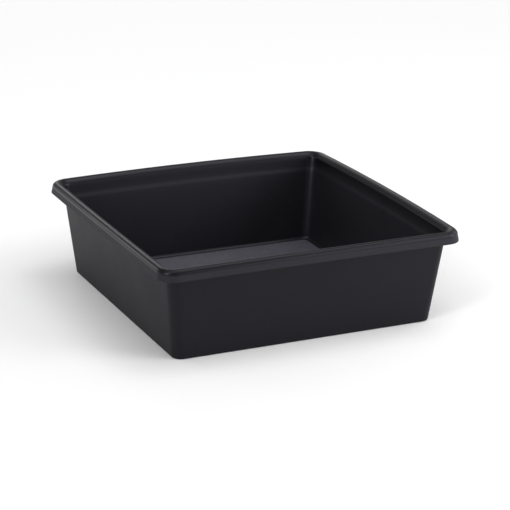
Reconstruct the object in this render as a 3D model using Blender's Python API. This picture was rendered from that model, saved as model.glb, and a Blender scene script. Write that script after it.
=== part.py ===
"""Square plastic mortar mixing tub, moulded in one piece: a tapered tray with a rolled rim and a skirt.

Metres, +Z up. The origin is the centre of the underside, which rests on z = 0.
The tub is one closed skin, lofted through rounded-square rings. The rings follow the wall's
cross-section from the middle of the inside floor, up the wall, over the rolled rim, down the
skirt, back up inside the skirt, and down the outside to the middle of the underside.
"""

import math

import bmesh
import bpy

# Overall size
OVERALL_WIDTH = 0.600  # across the skirts, at the middle of two opposite sides
OVERALL_HEIGHT = 0.183  # from the ground to the top of the rim, at the middle of a side
SIDE_BOW = 0.0038  # how far the middle of a side stands out beyond its corners, at the skirt's lower edge
RIM_CROWN = 0.0026  # how far the rim rises from a corner to the middle of a side

# Walls and floor
WALL = 0.0030
UPPER_WALL = 0.0022  # above the ledge
FLOOR = 0.0035
DRAFT = 0.110  # how far a wall leans out for each metre of height
WALL_CORNER = 0.019  # outside corner radius of the walls, in plan
FLOOR_FILLET = 0.006  # between the inside walls and the floor
BASE_EDGE = 0.004  # between the outside walls and the underside
LEDGE_DROP = 0.0360  # from the rim's top down to the ledge inside
LEDGE_RISE = 0.0060  # height over which the ledge slopes

# Rolled rim and its skirt
RIM_CORNER = 0.031  # outside corner radius of the skirt, in plan
RIM_THICKNESS = 0.0024
ROLL_RISE = 0.0090  # from the top of the skirt to the top of the rim
ROLL_CREST_INSET = 0.0108  # from the skirt's lower edge in to the rim's highest line
SKIRT_DROP = 0.0120  # from the start of the roll down to the skirt's lower edge
SKIRT_FLARE = 0.0020  # how far the skirt leans out at its lower edge
LIP_DROP = 0.0100  # from the rim's top down to where the lip's curve has become the wall
RIM_REACH = 0.0205  # from the skirt's lower edge in to the wall's outside face there
HANDLE_SHARE = 0.4  # how far the lip curve's handles reach towards the corner of its tangents

# Underside
FOOT_BAND = 0.026  # width of the flat band that the tub stands on
RECESS = 0.0008  # how far the panel inside that band is raised
RECESS_SLOPE = 0.0020  # width of the slope from the band up to the panel
GATE_DIMPLE_RADIUS = 0.011
GATE_DIMPLE_DEPTH = 0.0006  # above the panel
GATE_EDGE = 0.0010  # width of the dimple's sloping edge
GATE_MARK_RADIUS = 0.0025
GATE_MARK_TAPER = 0.0005  # how much wider the mark is at its root

# Fineness
CORNER_STEPS = 6
SIDE_STEPS = 8
CURVE_STEPS = 5
SHARP_ANGLE = 35  # degrees between faces that are shaded as an edge

CORNER_HALF_WIDTH = OVERALL_WIDTH / 2 - SIDE_BOW
RIM_TOP = OVERALL_HEIGHT - RIM_CROWN  # at a corner
ROLL_FOOT = RIM_TOP - ROLL_RISE
SKIRT_BOTTOM = ROLL_FOOT - SKIRT_DROP
LIP_FOOT = RIM_TOP - LIP_DROP
LEDGE_HEIGHT = RIM_TOP - LEDGE_DROP


def outer_inset(z):
    """Inset of the wall's outside face at a height."""
    return RIM_REACH + DRAFT * (LIP_FOOT - z)


def inner_inset(z, thickness=WALL):
    """Inset of the wall's inside face at a height."""
    return outer_inset(z) + thickness


def arc(center_inset, center_z, inset_radius, z_radius, start, end):
    """Points (inset, z) on an ellipse's arc, from angle start to end in degrees; 90 is up, 0 is inwards."""
    points = []
    for step in range(CURVE_STEPS + 1):
        angle = math.radians(start + (end - start) * step / CURVE_STEPS)
        points.append((center_inset + inset_radius * math.cos(angle), center_z + z_radius * math.sin(angle)))
    return points


def lip_curve(foot, foot_z, crest_z):
    """Points from the wall at foot, up and over to the crest: a curve tangent to the wall and to the level."""
    corner = foot - DRAFT * (crest_z - foot_z)
    handles = (
        (foot, foot_z),
        (foot + (corner - foot) * HANDLE_SHARE, foot_z + (crest_z - foot_z) * HANDLE_SHARE),
        (ROLL_CREST_INSET + (corner - ROLL_CREST_INSET) * HANDLE_SHARE, crest_z),
        (ROLL_CREST_INSET, crest_z),
    )
    points = []
    for step in range(CURVE_STEPS + 1):
        t = step / CURVE_STEPS
        weights = ((1 - t) ** 3, 3 * t * (1 - t) ** 2, 3 * t**2 * (1 - t), t**3)
        points.append(tuple(sum(w * handle[axis] for w, handle in zip(weights, handles)) for axis in (0, 1)))
    return points


def rim_radius(inset, start_inset, start_radius, foot_inset, foot_radius):
    """Plan corner radius on the rim, blended from the skirt's to the wall's."""
    share = (inset - start_inset) / (foot_inset - start_inset)
    return start_radius + (foot_radius - start_radius) * share


def inside_rings():
    """(inset, z, corner radius) from the inside floor up to the lip's foot."""
    corner = WALL_CORNER - WALL
    fillet_z = FLOOR + FLOOR_FILLET
    wall_foot = inner_inset(fillet_z)
    fillet = arc(wall_foot + FLOOR_FILLET, fillet_z, FLOOR_FILLET, FLOOR_FILLET, 270, 180)
    rings = [(inset, z, corner - (inset - wall_foot)) for inset, z in fillet]
    rings.append((inner_inset(LEDGE_HEIGHT), LEDGE_HEIGHT, corner))
    above = LEDGE_HEIGHT + LEDGE_RISE
    rings.append((inner_inset(above, UPPER_WALL), above, corner + WALL - UPPER_WALL))
    return rings


def rim_top_rings():
    """From the lip's foot over the rolled rim and down the outside of the skirt."""
    foot = inner_inset(LIP_FOOT, UPPER_WALL)
    roll = arc(ROLL_CREST_INSET, ROLL_FOOT, ROLL_CREST_INSET - SKIRT_FLARE, ROLL_RISE, 90, 180)
    path = lip_curve(foot, LIP_FOOT, RIM_TOP) + roll[1:]
    path.append((0.0, SKIRT_BOTTOM))
    foot_radius = WALL_CORNER - UPPER_WALL
    return [(inset, z, rim_radius(inset, 0.0, RIM_CORNER, foot, foot_radius)) for inset, z in path]


def rim_under_rings():
    """From the inside of the skirt's lower edge, up under the roll, to the wall's outside face."""
    foot = outer_inset(LIP_FOOT)
    reach = ROLL_CREST_INSET - SKIRT_FLARE - RIM_THICKNESS
    roll = arc(ROLL_CREST_INSET, ROLL_FOOT, reach, ROLL_RISE - RIM_THICKNESS, 180, 90)
    lip = lip_curve(foot, LIP_FOOT, RIM_TOP - RIM_THICKNESS)
    path = [(RIM_THICKNESS, SKIRT_BOTTOM)] + roll + lip[-2::-1]
    start = RIM_CORNER - RIM_THICKNESS
    return [(inset, z, rim_radius(inset, RIM_THICKNESS, start, foot, WALL_CORNER)) for inset, z in path]


def underside_rings():
    """From the foot of the outside wall to the gate mark in the middle of the underside."""
    wall_foot = outer_inset(BASE_EDGE)
    edge = arc(wall_foot + BASE_EDGE, BASE_EDGE, BASE_EDGE, BASE_EDGE, 180, 270)
    rings = [(inset, z, WALL_CORNER - (inset - wall_foot)) for inset, z in edge]
    band_end = wall_foot + BASE_EDGE + FOOT_BAND
    band_corner = WALL_CORNER - BASE_EDGE
    rings.append((band_end, 0.0, band_corner))
    rings.append((band_end + RECESS_SLOPE, RECESS, band_corner))
    dimple_top = RECESS + GATE_DIMPLE_DEPTH
    steps = (
        (GATE_DIMPLE_RADIUS, RECESS),
        (GATE_DIMPLE_RADIUS - GATE_EDGE, dimple_top),
        (GATE_MARK_RADIUS + GATE_MARK_TAPER, dimple_top),
        (GATE_MARK_RADIUS, RECESS),
    )
    rings += [(CORNER_HALF_WIDTH - radius, z, radius) for radius, z in steps]
    return rings


def rounded_square(half, corner_radius):
    """Points round a square with rounded corners, anticlockwise from +X."""
    straight = half - corner_radius
    plan = []
    for quarter in range(4):
        for step in range(CORNER_STEPS + 1):
            angle = math.pi / 2 * (quarter + step / CORNER_STEPS)
            middle = math.pi / 2 * (quarter + 0.5)
            cx = math.copysign(straight, math.cos(middle))
            cy = math.copysign(straight, math.sin(middle))
            plan.append((cx + corner_radius * math.cos(angle), cy + corner_radius * math.sin(angle)))
        outward = math.pi / 2 * (quarter + 1)
        out_x, out_y = math.cos(outward), math.sin(outward)
        for step in range(1, SIDE_STEPS):
            along = straight * (1 - 2 * step / SIDE_STEPS)
            plan.append((half * out_x + along * out_y, half * out_y - along * out_x))
    return plan


def ring_points(inset, z, corner_radius):
    """One ring of the skin. Its sides bow out, and rise in the middle, in proportion to its height."""
    half = CORNER_HALF_WIDTH - inset
    bow = SIDE_BOW * max(0.0, (z - FLOOR) / (SKIRT_BOTTOM - FLOOR))
    rise = RIM_CROWN * max(0.0, (z - FLOOR) / (RIM_TOP - FLOOR))
    points = []
    for x, y in rounded_square(half, corner_radius):
        across, along = abs(x) / half, abs(y) / half
        bowed_x = x + math.copysign(bow * (1 - along**2) * across**2, x)
        bowed_y = y + math.copysign(bow * (1 - across**2) * along**2, y)
        points.append((bowed_x, bowed_y, z + rise * (1 - min(across, along) ** 2)))
    return points


def loft(name, rings, material):
    """A closed skin through the rings, capped at its first and last ring."""
    mesh = bpy.data.meshes.new(name)
    bm = bmesh.new()
    loops = [[bm.verts.new(point) for point in ring_points(*ring)] for ring in rings]
    count = len(loops[0])
    for lower, upper in zip(loops, loops[1:]):
        for index in range(count):
            after = (index + 1) % count
            bm.faces.new((lower[index], upper[index], upper[after], lower[after]))
    bm.faces.new(loops[0])
    bm.faces.new(reversed(loops[-1]))
    bm.normal_update()
    bm.to_mesh(mesh)
    bm.free()
    mesh.shade_smooth()
    mesh.set_sharp_from_angle(angle=math.radians(SHARP_ANGLE))
    mesh.materials.append(material)
    obj = bpy.data.objects.new(name, mesh)
    bpy.context.scene.collection.objects.link(obj)
    return obj


def black_plastic():
    """Plain satin black for the whole tub."""
    material = bpy.data.materials.new("tub_plastic")
    material.use_nodes = True
    shader = material.node_tree.nodes["Principled BSDF"]
    shader.inputs["Base Color"].default_value = (0.022, 0.022, 0.025, 1.0)
    shader.inputs["Roughness"].default_value = 0.5
    shader.inputs["Metallic"].default_value = 0.0
    return material


def main():
    """Clears the scene and builds the tub."""
    for obj in list(bpy.data.objects):
        bpy.data.objects.remove(obj, do_unlink=True)
    rings = inside_rings() + rim_top_rings() + rim_under_rings() + underside_rings()
    loft("tub", rings, black_plastic())


main()
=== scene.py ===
"""The looks of the square mortar mixing tub: a moulded black skin, on a pale floor in soft light."""

import math

import bmesh
import bpy
from mathutils import Matrix, Vector


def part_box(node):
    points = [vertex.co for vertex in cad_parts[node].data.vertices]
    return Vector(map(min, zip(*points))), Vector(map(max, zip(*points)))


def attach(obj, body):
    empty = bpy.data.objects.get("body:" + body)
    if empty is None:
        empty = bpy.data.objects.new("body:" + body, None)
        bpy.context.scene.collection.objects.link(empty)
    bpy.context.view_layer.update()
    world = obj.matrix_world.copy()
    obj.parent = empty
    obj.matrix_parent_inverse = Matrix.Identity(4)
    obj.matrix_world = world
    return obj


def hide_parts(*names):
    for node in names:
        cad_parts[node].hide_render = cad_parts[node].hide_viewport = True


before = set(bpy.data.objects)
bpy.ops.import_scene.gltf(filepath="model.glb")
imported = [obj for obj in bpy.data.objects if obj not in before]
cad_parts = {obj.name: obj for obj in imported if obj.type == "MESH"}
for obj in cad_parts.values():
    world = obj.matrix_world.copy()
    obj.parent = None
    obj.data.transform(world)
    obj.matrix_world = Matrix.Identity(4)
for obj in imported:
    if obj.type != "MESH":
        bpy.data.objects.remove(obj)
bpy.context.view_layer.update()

LOWEST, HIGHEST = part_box("tub")

# The tub's shape, in metres, as in the CAD model apart from the ledge, which is spread over more height
SIDE_BOW = 0.0038
RIM_CROWN = 0.0026
WALL = 0.0030
UPPER_WALL = 0.0022
FLOOR = 0.0035
DRAFT = 0.110
WALL_CORNER = 0.019
FLOOR_FILLET = 0.006
BASE_EDGE = 0.004
LEDGE_DROP = 0.0385
LEDGE_RISE = 0.0110
RIM_CORNER = 0.031
RIM_THICKNESS = 0.0024
ROLL_RISE = 0.0090
ROLL_CREST_INSET = 0.0108
SKIRT_DROP = 0.0120
SKIRT_FLARE = 0.0020
LIP_DROP = 0.0100
RIM_REACH = 0.0205
FOOT_BAND = 0.026
RECESS = 0.0008
RECESS_SLOPE = 0.0020
GATE_DIMPLE_RADIUS = 0.011
GATE_DIMPLE_DEPTH = 0.0006
GATE_EDGE = 0.0010
GATE_MARK_RADIUS = 0.0025
GATE_MARK_TAPER = 0.0005
HANDLE_SHARE = 0.4

# Radius of the skirt's lower edge, which only this finer skin has
SKIRT_EDGE = 0.0007

# Finishes of the moulding, with painted light and shade: shade, roughness, depth of the grain, share of
# the coarser pebbles. The shade is painted light and shade by zone on one black plastic. The inside floor
# and the up-tilted skirt are painted lighter, as if lit from above. The outside walls and the roll are
# painted darker than the inside walls, as if in shade. Each name is also the name of the vertex attribute
# that says where the finish and its painted shade lie.
SHADE, ROUGHNESS, GRAIN, PEBBLE = range(4)
ON_FLOOR = "floor_share"
ON_INSIDE = "inside_share"
ON_ROLL = "roll_share"
ON_SKIRT = "skirt_share"
OUTSIDE_FINISH_AND_PAINTED_LIGHT = (0.0018, 0.55, 0.55, 0.0)
FINISHES_AND_PAINTED_LIGHT = {
    ON_FLOOR: (0.090, 0.58, 0.80, 1.0),
    ON_INSIDE: (0.0118, 0.38, 0.25, 0.0),
    ON_ROLL: (0.0015, 0.32, 0.15, 0.0),
    ON_SKIRT: (0.0130, 0.60, 0.60, 0.35),
}

# Fineness
CORNER_STEPS = 18
SIDE_STEPS = 40
CURVE_STEPS = 12
EDGE_STEPS = 4
LEDGE_STEPS = 8
FLOOR_SHARES = (0.05, 0.3, 0.6, 0.85, 0.985)  # rings on the inside floor, as shares of its half width
INSIDE_SHARES = (0.15, 0.35, 0.55, 0.75, 0.92)  # rings on the inside wall, as shares of its height
SKIRT_SHARES = (0.15, 0.4, 0.7)  # rings on the skirt, as shares of its drop
OUTSIDE_SHARES = (0.9, 0.7, 0.5, 0.3, 0.15)  # rings on the outside wall, as shares of its height

CORNER_HALF_WIDTH = (HIGHEST.x - LOWEST.x) / 2 - SIDE_BOW
RIM_TOP = HIGHEST.z - RIM_CROWN
ROLL_FOOT = RIM_TOP - ROLL_RISE
SKIRT_BOTTOM = ROLL_FOOT - SKIRT_DROP
LIP_FOOT = RIM_TOP - LIP_DROP
LEDGE_HEIGHT = RIM_TOP - LEDGE_DROP


def outer_inset(z):
    """Inset of the wall's outside face at a height."""
    return RIM_REACH + DRAFT * (LIP_FOOT - z)


def inner_inset(z, thickness=WALL):
    """Inset of the wall's inside face at a height."""
    return outer_inset(z) + thickness


def arc(center_inset, center_z, inset_radius, z_radius, start, end, steps=CURVE_STEPS):
    """Points (inset, z) on an ellipse's arc, from start to end in degrees; 90 is up and 0 is inwards."""
    points = []
    for step in range(steps + 1):
        angle = math.radians(start + (end - start) * step / steps)
        inset = center_inset + inset_radius * math.cos(angle)
        points.append((inset, center_z + z_radius * math.sin(angle)))
    return points


def lip_curve(foot, foot_z, crest_z):
    """Points from the wall's foot point up and over to the crest, tangent to the wall and to the level."""
    corner = foot - DRAFT * (crest_z - foot_z)
    handles = (
        (foot, foot_z),
        (foot + (corner - foot) * HANDLE_SHARE, foot_z + (crest_z - foot_z) * HANDLE_SHARE),
        (ROLL_CREST_INSET + (corner - ROLL_CREST_INSET) * HANDLE_SHARE, crest_z),
        (ROLL_CREST_INSET, crest_z),
    )
    points = []
    for step in range(CURVE_STEPS + 1):
        t = step / CURVE_STEPS
        weights = ((1 - t) ** 3, 3 * t * (1 - t) ** 2, 3 * t**2 * (1 - t), t**3)
        weighted = list(zip(weights, handles))
        points.append(tuple(sum(w * handle[axis] for w, handle in weighted) for axis in (0, 1)))
    return points


def blend_radius(inset, start_inset, start_radius, end_inset, end_radius):
    """Plan corner radius at an inset, blended from the skirt's to the wall's."""
    share = (inset - start_inset) / (end_inset - start_inset)
    return start_radius + (end_radius - start_radius) * share


def floor_rings():
    """From the middle of the inside floor to the start of its fillet."""
    wall_foot = inner_inset(FLOOR + FLOOR_FILLET)
    floor_half = CORNER_HALF_WIDTH - wall_foot - FLOOR_FILLET
    corner = WALL_CORNER - WALL - FLOOR_FILLET
    return [
        (CORNER_HALF_WIDTH - floor_half * share, FLOOR, corner * share)
        for share in FLOOR_SHARES
    ]


def inside_rings():
    """From the floor's fillet up the inside wall, over the soft ledge."""
    corner = WALL_CORNER - WALL
    fillet_z = FLOOR + FLOOR_FILLET
    wall_foot = inner_inset(fillet_z)
    rings = []
    fillet = arc(wall_foot + FLOOR_FILLET, fillet_z, FLOOR_FILLET, FLOOR_FILLET, 270, 180)
    rings += [(inset, z, corner - (inset - wall_foot)) for inset, z in fillet]
    for share in INSIDE_SHARES:
        z = fillet_z + (LEDGE_HEIGHT - fillet_z) * share
        rings.append((inner_inset(z), z, corner))
    ledge = WALL - UPPER_WALL
    for step in range(LEDGE_STEPS + 1):
        t = step / LEDGE_STEPS
        ease = t * t * (3 - 2 * t)
        z = LEDGE_HEIGHT + LEDGE_RISE * t
        rings.append((inner_inset(z, WALL - ledge * ease), z, corner + ledge * ease))
    return rings


def rim_rings(path):
    """Rings along a path on the rim's upper side, whose corners grow from the wall's to the skirt's."""
    foot = inner_inset(LIP_FOOT, UPPER_WALL)
    foot_radius = WALL_CORNER - UPPER_WALL
    return [(inset, z, blend_radius(inset, 0.0, RIM_CORNER, foot, foot_radius)) for inset, z in path]


def roll_rings():
    """From the lip's foot over the rolled rim to the top of the skirt."""
    foot = inner_inset(LIP_FOOT, UPPER_WALL)
    roll = arc(ROLL_CREST_INSET, ROLL_FOOT, ROLL_CREST_INSET - SKIRT_FLARE, ROLL_RISE, 90, 180)
    return rim_rings(lip_curve(foot, LIP_FOOT, RIM_TOP) + roll[1:])


def skirt_rings():
    """Down the outside of the skirt and round its lower edge."""
    path = [(SKIRT_FLARE * (1 - share), ROLL_FOOT - SKIRT_DROP * share) for share in SKIRT_SHARES]
    edge_z = SKIRT_BOTTOM + SKIRT_EDGE
    path += arc(SKIRT_EDGE, edge_z, SKIRT_EDGE, SKIRT_EDGE, 180, 270, EDGE_STEPS)
    path += arc(RIM_THICKNESS - SKIRT_EDGE, edge_z, SKIRT_EDGE, SKIRT_EDGE, 270, 360, EDGE_STEPS)
    return rim_rings(path)


def rim_under_rings():
    """From the inside of the skirt up under the roll to the wall's outside face."""
    foot = outer_inset(LIP_FOOT)
    reach = ROLL_CREST_INSET - SKIRT_FLARE - RIM_THICKNESS
    roll = arc(ROLL_CREST_INSET, ROLL_FOOT, reach, ROLL_RISE - RIM_THICKNESS, 180, 90)
    lip = lip_curve(foot, LIP_FOOT, RIM_TOP - RIM_THICKNESS)
    path = roll + lip[-2::-1]
    start_radius = RIM_CORNER - RIM_THICKNESS
    rings = []
    for inset, z in path:
        rings.append((inset, z, blend_radius(inset, RIM_THICKNESS, start_radius, foot, WALL_CORNER)))
    return rings


def outside_rings():
    """Down the outside wall and in to the gate's mark in the middle of the underside."""
    rings = []
    for share in OUTSIDE_SHARES:
        z = BASE_EDGE + (LIP_FOOT - BASE_EDGE) * share
        rings.append((outer_inset(z), z, WALL_CORNER))
    wall_foot = outer_inset(BASE_EDGE)
    edge = arc(wall_foot + BASE_EDGE, BASE_EDGE, BASE_EDGE, BASE_EDGE, 180, 270)
    rings += [(inset, z, WALL_CORNER - (inset - wall_foot)) for inset, z in edge]
    band_end = wall_foot + BASE_EDGE + FOOT_BAND
    band_corner = WALL_CORNER - BASE_EDGE
    rings.append((band_end, 0.0, band_corner))
    rings.append((band_end + RECESS_SLOPE, RECESS, band_corner))
    dimple_top = RECESS + GATE_DIMPLE_DEPTH
    steps = (
        (GATE_DIMPLE_RADIUS, RECESS),
        (GATE_DIMPLE_RADIUS - GATE_EDGE, dimple_top),
        (GATE_MARK_RADIUS + GATE_MARK_TAPER, dimple_top),
        (GATE_MARK_RADIUS, RECESS),
    )
    rings += [(CORNER_HALF_WIDTH - radius, z, radius) for radius, z in steps]
    return rings


def rounded_square(half, corner_radius):
    """Points round a square with rounded corners, anticlockwise from +X."""
    straight = half - corner_radius
    plan = []
    for quarter in range(4):
        for step in range(CORNER_STEPS + 1):
            angle = math.pi / 2 * (quarter + step / CORNER_STEPS)
            middle = math.pi / 2 * (quarter + 0.5)
            cx = math.copysign(straight, math.cos(middle))
            cy = math.copysign(straight, math.sin(middle))
            plan.append((cx + corner_radius * math.cos(angle), cy + corner_radius * math.sin(angle)))
        outward = math.pi / 2 * (quarter + 1)
        out_x, out_y = math.cos(outward), math.sin(outward)
        for step in range(1, SIDE_STEPS):
            along = straight * (1 - 2 * step / SIDE_STEPS)
            plan.append((half * out_x + along * out_y, half * out_y - along * out_x))
    return plan


def ring_points(inset, z, corner_radius):
    """One ring of the skin. Its sides bow out, and rise in the middle, in proportion to its height."""
    half = CORNER_HALF_WIDTH - inset
    bow = SIDE_BOW * max(0.0, (z - FLOOR) / (SKIRT_BOTTOM + SKIRT_EDGE - FLOOR))
    rise = RIM_CROWN * max(0.0, (z - FLOOR) / (RIM_TOP - FLOOR))
    points = []
    for x, y in rounded_square(half, min(corner_radius, half)):
        across, along = abs(x) / half, abs(y) / half
        bowed_x = x + math.copysign(bow * (1 - along**2) * across**2, x)
        bowed_y = y + math.copysign(bow * (1 - across**2) * along**2, y)
        points.append((bowed_x, bowed_y, z + rise * (1 - min(across, along) ** 2)))
    return points


def tub_skin():
    """The closed skin. Each vertex holds a share of 0 or 1 of each zone's finish and painted shade but the
    outside walls'.
    """
    groups = (
        (floor_rings(), ON_FLOOR),
        (inside_rings(), ON_INSIDE),
        (roll_rings(), ON_ROLL),
        (skirt_rings(), ON_SKIRT),
        (rim_under_rings() + outside_rings(), None),
    )
    mesh = bpy.data.meshes.new("tub_skin")
    bm = bmesh.new()
    layers = {name: bm.verts.layers.float.new(name) for name in FINISHES_AND_PAINTED_LIGHT}
    loops = []
    for rings, finish in groups:
        for ring in rings:
            loop = [bm.verts.new(point) for point in ring_points(*ring)]
            for vert in loop:
                for name, layer in layers.items():
                    vert[layer] = 1.0 if name == finish else 0.0
            loops.append(loop)
    count = len(loops[0])
    for lower, upper in zip(loops, loops[1:]):
        for index in range(count):
            after = (index + 1) % count
            bm.faces.new((lower[index], upper[index], upper[after], lower[after]))
    bm.faces.new(loops[0])
    bm.faces.new(reversed(loops[-1]))
    bm.to_mesh(mesh)
    bm.free()
    mesh.shade_smooth()
    skin = bpy.data.objects.new("tub_skin", mesh)
    bpy.context.scene.collection.objects.link(skin)
    return skin


class Nodes:
    """Adds nodes to a material, with each input given as a number, a colour or another node's output."""

    def __init__(self, material):
        material.use_nodes = True
        self.tree = material.node_tree
        self.shader = self.tree.nodes["Principled BSDF"]

    def fill(self, node, inputs):
        for name, value in inputs.items():
            if isinstance(value, bpy.types.NodeSocket):
                self.tree.links.new(value, node.inputs[name])
            else:
                node.inputs[name].default_value = value

    def attribute(self, name):
        node = self.tree.nodes.new("ShaderNodeAttribute")
        node.attribute_name = name
        return node.outputs["Fac"]

    def place(self, scale):
        """Object coordinates, in metres, stretched by a scale along each axis."""
        coordinates = self.tree.nodes.new("ShaderNodeTexCoord")
        mapping = self.tree.nodes.new("ShaderNodeMapping")
        self.fill(mapping, {"Vector": coordinates.outputs["Object"], "Scale": scale})
        return mapping.outputs["Vector"]

    def noise(self, vector, scale, detail=2.0, roughness=0.5, distortion=0.0):
        node = self.tree.nodes.new("ShaderNodeTexNoise")
        inputs = {"Vector": vector, "Scale": scale, "Detail": detail, "Roughness": roughness}
        self.fill(node, {**inputs, "Distortion": distortion})
        return node.outputs["Fac"]

    def cells(self, vector, scale):
        node = self.tree.nodes.new("ShaderNodeTexVoronoi")
        self.fill(node, {"Vector": vector, "Scale": scale})
        return node.outputs["Distance"]

    def math(self, operation, *values):
        node = self.tree.nodes.new("ShaderNodeMath")
        node.operation = operation
        self.fill(node, dict(enumerate(values)))
        return node.outputs["Value"]

    def spread(self, value, low, high, to_low=0.0, to_high=1.0):
        """A value from low to high, spread smoothly from to_low to to_high and held outside that."""
        node = self.tree.nodes.new("ShaderNodeMapRange")
        node.interpolation_type = "SMOOTHSTEP"
        limits = {"From Min": low, "From Max": high, "To Min": to_low, "To Max": to_high}
        self.fill(node, {"Value": value, **limits})
        return node.outputs["Result"]

    def blend(self, share, first, second):
        """One number at share 0 and another at share 1."""
        node = self.tree.nodes.new("ShaderNodeMix")
        self.fill(node, {"Factor": share, "A": first, "B": second})
        return node.outputs["Result"]

    def tinted(self, tint, value):
        """A colour: the tint scaled by a value."""
        node = self.tree.nodes.new("ShaderNodeVectorMath")
        node.operation = "SCALE"
        self.fill(node, {0: tint, "Scale": value})
        return node.outputs["Vector"]


EVEN = (1.0, 1.0, 1.0)
UPRIGHT_STREAKS = (1.0, 1.0, 0.06)
PLASTIC_TINT = (0.97, 0.93, 1.12)
GLOSS_TINT = (0.96, 0.93, 1.12, 1.0)

# Features per metre
SPARK_SCALE = 1100.0
PEBBLE_SCALE = 420.0
PIT_SCALE = 520.0
FLOW_SCALE = 6.0
STREAK_SCALE = 85.0
SCUFF_SCALE = 16.0
SCUFF_PATCH_SCALE = 11.0

# How much each feature shows
MOTTLE = 0.07  # share of the shade
SPECKLE = 0.22  # share of the shade
SCUFF_SHADE = 0.003
FLOW_GLOSS = 0.02  # of roughness, as are the next two
STREAK_GLOSS = 0.008
SCUFF_GLOSS = 0.10
PEBBLE_HEIGHT = 1.6  # in grain depths
GRAIN_DEPTH = 0.0001  # metres
GRAIN_STRENGTH = 0.8


def by_zone(nodes, shares, column):
    """A number of the outside walls' finish and painted shade, or of another zone's where its share is 1.
    """
    value = OUTSIDE_FINISH_AND_PAINTED_LIGHT[column]
    for name, share in shares.items():
        value = nodes.blend(share, value, FINISHES_AND_PAINTED_LIGHT[name][column])
    return value


def black_plastic():
    """Moulded black polypropylene: fine spark texture, coarser on the floor and smoother on the roll, its
    shade painted lighter or darker by zone as light and shade.
    """
    material = bpy.data.materials.new("black_plastic")
    nodes = Nodes(material)
    shares = {name: nodes.attribute(name) for name in FINISHES_AND_PAINTED_LIGHT}
    even = nodes.place(EVEN)

    spark = nodes.noise(even, SPARK_SCALE, 2.0, 0.6)
    pebble = nodes.noise(even, PEBBLE_SCALE, 2.0, 0.65)
    pits = nodes.cells(even, PIT_SCALE)
    flow = nodes.noise(even, FLOW_SCALE, 3.0, 0.5, 0.8)
    streaks = nodes.noise(nodes.place(UPRIGHT_STREAKS), STREAK_SCALE, 3.0, 0.6)
    curves = nodes.noise(even, SCUFF_SCALE, 1.0, 0.4, 3.5)
    line = nodes.math("ABSOLUTE", nodes.math("SUBTRACT", curves, 0.5))
    patches = nodes.spread(nodes.noise(even, SCUFF_PATCH_SCALE, 2.0), 0.56, 0.66)
    scuffs = nodes.math("MULTIPLY", nodes.spread(line, 0.0, 0.008, 1.0, 0.0), patches)

    # The zones' shades are painted light and shade: the inside floor and skirt lighter as if lit from
    # above, the outside walls and roll darker.
    shade = by_zone(nodes, shares, SHADE)
    mottle = nodes.spread(flow, 0.3, 0.7, 1 - MOTTLE, 1 + MOTTLE)
    pebble_share = by_zone(nodes, shares, PEBBLE)
    speckle = nodes.spread(pebble, 0.35, 0.65, 1 - SPECKLE, 1 + SPECKLE)
    speckle = nodes.blend(pebble_share, 1.0, speckle)
    shade = nodes.math("MULTIPLY", nodes.math("MULTIPLY", shade, mottle), speckle)
    shade = nodes.math("ADD", shade, nodes.math("MULTIPLY", scuffs, SCUFF_SHADE))

    roughness = by_zone(nodes, shares, ROUGHNESS)
    roughness = nodes.math("ADD", roughness, nodes.spread(flow, 0.3, 0.7, -FLOW_GLOSS, FLOW_GLOSS))
    roughness = nodes.math("ADD", roughness, nodes.spread(streaks, 0.3, 0.7, -STREAK_GLOSS, STREAK_GLOSS))
    roughness = nodes.math("ADD", roughness, nodes.math("MULTIPLY", scuffs, SCUFF_GLOSS))

    grain = nodes.math("ADD", nodes.math("MULTIPLY", spark, 0.5), nodes.math("MULTIPLY", pits, 0.5))
    height = nodes.math("MULTIPLY", grain, by_zone(nodes, shares, GRAIN))
    pebbles = nodes.math("MULTIPLY", pebble, pebble_share)
    height = nodes.math("ADD", height, nodes.math("MULTIPLY", pebbles, PEBBLE_HEIGHT))
    bump = nodes.tree.nodes.new("ShaderNodeBump")
    nodes.fill(bump, {"Height": height, "Distance": GRAIN_DEPTH, "Strength": GRAIN_STRENGTH})

    nodes.fill(
        nodes.shader,
        {
            "Base Color": nodes.tinted(PLASTIC_TINT, shade),
            "Roughness": roughness,
            "Normal": bump.outputs["Normal"],
            "Specular IOR Level": 0.25,
            "Specular Tint": GLOSS_TINT,
        },
    )
    return material


FLOOR_REACH = 14.0
FLOOR_GAP = 0.0002  # under the tub's foot
PAPER_COLOR = (0.9, 0.9, 0.9, 1.0)
PAPER_ROUGHNESS = 0.9


def pale_floor():
    """A wide square of matt white paper, just under the tub."""
    mesh = bpy.data.meshes.new("floor")
    corners = [(x * FLOOR_REACH, y * FLOOR_REACH, 0) for x, y in ((-1, -1), (1, -1), (1, 1), (-1, 1))]
    mesh.from_pydata(corners, [], [(0, 1, 2, 3)])
    obj = bpy.data.objects.new("floor", mesh)
    bpy.context.scene.collection.objects.link(obj)
    material = bpy.data.materials.new("floor_paper")
    material.use_nodes = True
    shader = material.node_tree.nodes["Principled BSDF"]
    shader.inputs["Base Color"].default_value = PAPER_COLOR
    shader.inputs["Roughness"].default_value = PAPER_ROUGHNESS
    shader.inputs["Specular IOR Level"].default_value = 0.0
    mesh.materials.append(material)
    obj.location.z = -FLOOR_GAP
    return obj


def softbox(name, position, target, size_x, size_y, power):
    """A nearby rectangular light, turned to face the target. The camera doesn't see it."""
    data = bpy.data.lights.new(name, "AREA")
    data.shape = "RECTANGLE"
    data.size = size_x
    data.size_y = size_y
    data.energy = power
    obj = bpy.data.objects.new(name, data)
    obj.location = position
    obj.rotation_euler = (Vector(target) - Vector(position)).to_track_quat("-Z", "Y").to_euler()
    obj.visible_camera = False
    bpy.context.scene.collection.objects.link(obj)


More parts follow.
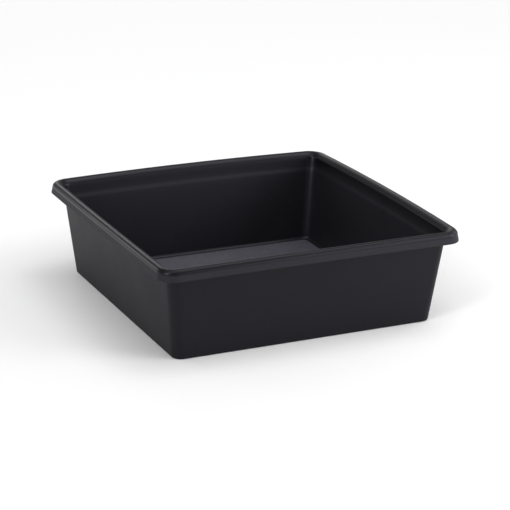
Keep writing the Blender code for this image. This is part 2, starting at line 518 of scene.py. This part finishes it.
def wide_light(name, azimuth, elevation, width, strength):
    """A far softbox, as wide as an angle in degrees. Azimuth 0 is behind the tub, and 90 to its right."""
    data = bpy.data.lights.new(name, "SUN")
    data.angle = math.radians(width)
    data.energy = strength
    obj = bpy.data.objects.new(name, data)
    turn, rise = math.radians(azimuth), math.radians(elevation)
    towards = Vector((math.sin(turn) * math.cos(rise), math.cos(turn) * math.cos(rise), math.sin(rise)))
    obj.rotation_euler = towards.to_track_quat("Z", "Y").to_euler()
    bpy.context.scene.collection.objects.link(obj)


WORLD_STRENGTH = 0.40
FAR_LIGHTS = (
    # name, azimuth, elevation, width, strength
    ("overhead", 150, 80, 60, 0.78),
    ("high_right", 90, 68, 28, 0.30),
    ("front_left", 240, 44, 26, 0.45),
    ("low_front_left", 246, 12, 14, 0.30),
    ("left", 248, 24, 16, 0.45),
    ("front_right", 128, 26, 30, 0.92),
    ("back", 12, 28, 24, 0.22),
)
NEAR_LIGHTS = (
    # name, position, width, height, power
    ("right", (1.7, 0.0, 0.9), 1.2, 1.0, 4.0),
    ("low_front_right", (0.7, -1.5, 0.35), 0.8, 0.6, 3.2),
    ("low_right", (1.2, -0.7, 0.35), 0.6, 0.6, 2.1),
    ("back_left", (-0.95, 1.0, 0.50), 0.5, 0.4, 1.6),
)
LIT_POINT = (0.0, 0.0, 0.05)
WHITE = (1.0, 1.0, 1.0, 1.0)


def studio():
    """Soft white light from all round, with wide softboxes far off and small ones nearby."""
    world = bpy.data.worlds.new("studio")
    world.use_nodes = True
    background = world.node_tree.nodes["Background"]
    background.inputs["Color"].default_value = WHITE
    background.inputs["Strength"].default_value = WORLD_STRENGTH
    bpy.context.scene.world = world
    for light in FAR_LIGHTS:
        wide_light(*light)
    for name, position, size_x, size_y, power in NEAR_LIGHTS:
        softbox(name, position, LIT_POINT, size_x, size_y, power)


CAMERA_AZIMUTH = -25.29
CAMERA_ELEVATION = 19.03
CAMERA_DISTANCE = 3.924
CAMERA_ROLL = 0.97
CAMERA_TARGET = (0.1118, 0.2048, 0.0)
CAMERA_LENS = 136.77
SENSOR = 36.0
FARTHEST_SEEN = 50.0


def camera():
    """The camera, whose azimuth 0 looks along +Y, rolled a little about its line of sight."""
    az, el, roll = (math.radians(v) for v in (CAMERA_AZIMUTH, CAMERA_ELEVATION, CAMERA_ROLL))
    away = Vector((math.sin(az) * math.cos(el), -math.cos(az) * math.cos(el), math.sin(el)))
    right = (-away).cross(Vector((0, 0, 1))).normalized()
    up = right.cross(-away)
    rolled_right = right * math.cos(roll) + up * math.sin(roll)
    rolled_up = up * math.cos(roll) - right * math.sin(roll)
    data = bpy.data.cameras.new("camera")
    data.lens = CAMERA_LENS
    data.sensor_width = SENSOR
    data.clip_end = FARTHEST_SEEN
    obj = bpy.data.objects.new("camera", data)
    turn = Matrix((rolled_right, rolled_up, away)).transposed().to_4x4()
    obj.matrix_world = Matrix.Translation(Vector(CAMERA_TARGET) + away * CAMERA_DISTANCE) @ turn
    bpy.context.scene.collection.objects.link(obj)
    bpy.context.scene.camera = obj


camera()
studio()
pale_floor()

skin = tub_skin()
skin.data.materials.append(black_plastic())
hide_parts("tub")
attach(skin, "root")

bpy.context.scene.view_settings.view_transform = "Standard"
